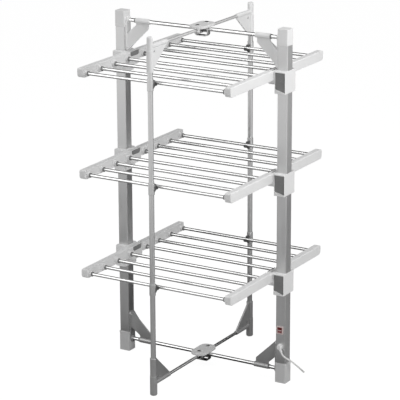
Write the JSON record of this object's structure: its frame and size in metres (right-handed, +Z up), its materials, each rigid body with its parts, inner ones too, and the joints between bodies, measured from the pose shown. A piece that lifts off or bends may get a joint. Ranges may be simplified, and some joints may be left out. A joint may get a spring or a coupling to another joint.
{
  "type": "heated clothes airer",
  "caption": "Freestanding heated clothes airer: two square posts, two slim legs and tiers of round heated bars on wings that fold up, with a rocker switch and a mains cord.",
  "frame": {"origin": "on the floor, midway between the two posts and midway between the two slim legs", "axes": "+X along the bars towards the post with the switch, +Y from the front to the back, +Z up"},
  "size_m": [0.7584, 0.745, 1.34],
  "materials": {
    "satin_aluminium": "satin",
    "bright_tube": "polished",
    "white_plastic": "smooth matt",
    "light_grey_plastic": "smooth matt",
    "dark_grey_plastic": "smooth matt",
    "zinc_steel": "zinc plated",
    "bezel_plastic": "gloss",
    "red_plastic": "gloss",
    "cord_sheath": "flexible sheath"
  },
  "bodies": {
    "frame": {"left_post": "satin_aluminium", "right_post": "satin_aluminium", "front_leg": "satin_aluminium", "back_leg": "satin_aluminium", "top_crossbar": "bright_tube", "bottom_crossbar": "bright_tube", "top_front_arm": "bright_tube", "top_back_arm": "bright_tube", "bottom_front_arm": "bright_tube", "bottom_back_arm": "bright_tube", "top_hub_plate": "light_grey_plastic", "bottom_hub_plate": "light_grey_plastic", "front_leg_foot": "light_grey_plastic", "back_leg_foot": "light_grey_plastic", "left_post_foot": "light_grey_plastic", "right_post_foot": "light_grey_plastic", "top_hub_strap": "zinc_steel", "bottom_hub_strap": "zinc_steel", "front_leg_top": "white_plastic", "back_leg_top": "white_plastic", "left_post_top": "white_plastic", "right_post_top": "white_plastic", "cord_gland": "white_plastic", "mains_plug": "white_plastic", "low_left_bracket": "white_plastic", "low_left_hinge_pins": "dark_grey_plastic", "low_right_bracket": "white_plastic", "low_right_hinge_pins": "dark_grey_plastic", "middle_left_bracket": "white_plastic", "middle_left_hinge_pins": "dark_grey_plastic", "middle_right_bracket": "white_plastic", "middle_right_hinge_pins": "dark_grey_plastic", "top_left_bracket": "white_plastic", "top_left_hinge_pins": "dark_grey_plastic", "top_right_bracket": "white_plastic", "top_right_hinge_pins": "dark_grey_plastic", "switch_bezel": "bezel_plastic", "post_wiring": "cord_sheath", "mains_cord": "cord_sheath", "mains_cord_hank": "cord_sheath", "hank_tie": "dark_grey_plastic"},
    "low_front_wing": {"low_front_left_rail": "white_plastic", "low_front_right_rail": "white_plastic", "low_front_bars": "bright_tube"},
    "low_back_wing": {"low_back_left_rail": "white_plastic", "low_back_right_rail": "white_plastic", "low_back_bars": "bright_tube"},
    "middle_front_wing": {"middle_front_left_rail": "white_plastic", "middle_front_right_rail": "white_plastic", "middle_front_bars": "bright_tube"},
    "middle_back_wing": {"middle_back_left_rail": "white_plastic", "middle_back_right_rail": "white_plastic", "middle_back_bars": "bright_tube"},
    "top_front_wing": {"top_front_left_rail": "white_plastic", "top_front_right_rail": "white_plastic", "top_front_bars": "bright_tube"},
    "top_back_wing": {"top_back_left_rail": "white_plastic", "top_back_right_rail": "white_plastic", "top_back_bars": "bright_tube"},
    "rocker": {"switch_rocker": "red_plastic"}
  },
  "joints": [
    {"name": "low_front_wing_fold", "type": "hinge", "parent": "frame", "child": "low_front_wing", "pos_m": [0, -0.018, 0.418], "axis": [-1, 0, 0], "range_deg": [0, 90]},
    {"name": "low_back_wing_fold", "type": "hinge", "parent": "frame", "child": "low_back_wing", "pos_m": [0, 0.018, 0.418], "axis": [1, 0, 0], "range_deg": [0, 90]},
    {"name": "middle_front_wing_fold", "type": "hinge", "parent": "frame", "child": "middle_front_wing", "pos_m": [0, -0.018, 0.7975], "axis": [-1, 0, 0], "range_deg": [0, 90]},
    {"name": "middle_back_wing_fold", "type": "hinge", "parent": "frame", "child": "middle_back_wing", "pos_m": [0, 0.018, 0.7975], "axis": [1, 0, 0], "range_deg": [0, 90]},
    {"name": "top_front_wing_fold", "type": "hinge", "parent": "frame", "child": "top_front_wing", "pos_m": [0, -0.018, 1.177], "axis": [-1, 0, 0], "range_deg": [0, 9]},
    {"name": "top_back_wing_fold", "type": "hinge", "parent": "frame", "child": "top_back_wing", "pos_m": [0, 0.018, 1.177], "axis": [1, 0, 0], "range_deg": [0, 9]},
    {"name": "rocker_tilt", "type": "hinge", "parent": "frame", "child": "rocker", "pos_m": [0.341, -0.0183, 0.208], "axis": [-1, 0, 0], "range_deg": [0, 18]}
  ]
}
